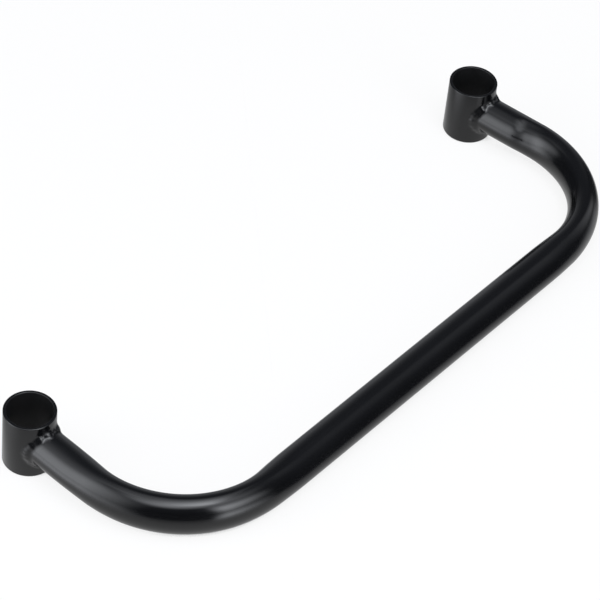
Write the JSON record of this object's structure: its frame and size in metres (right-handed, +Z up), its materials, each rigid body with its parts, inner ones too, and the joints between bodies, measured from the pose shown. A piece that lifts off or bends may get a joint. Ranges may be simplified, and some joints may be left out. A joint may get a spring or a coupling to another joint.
{
  "type": "push handle",
  "caption": "U-shaped push handle of bent steel tube, with an open upright post sleeve welded to each end, for a trolley or a shelving cart.",
  "frame": {"origin": "midway between the axes of the two post sleeves, at half the sleeves' height", "axes": "+X from the left sleeve to the right one, along the grip; -Y from the sleeves out to the grip; +Z up along the sleeves"},
  "size_m": [0.481, 0.1667, 0.043],
  "materials": {
    "black_paint": "gloss black paint over steel tube, with a faint orange peel"
  },
  "bodies": {
    "root": {"handle_tube": "black_paint", "left_sleeve": "black_paint", "right_sleeve": "black_paint", "left_weld": "black_paint", "right_weld": "black_paint"}
  },
  "joints": []
}
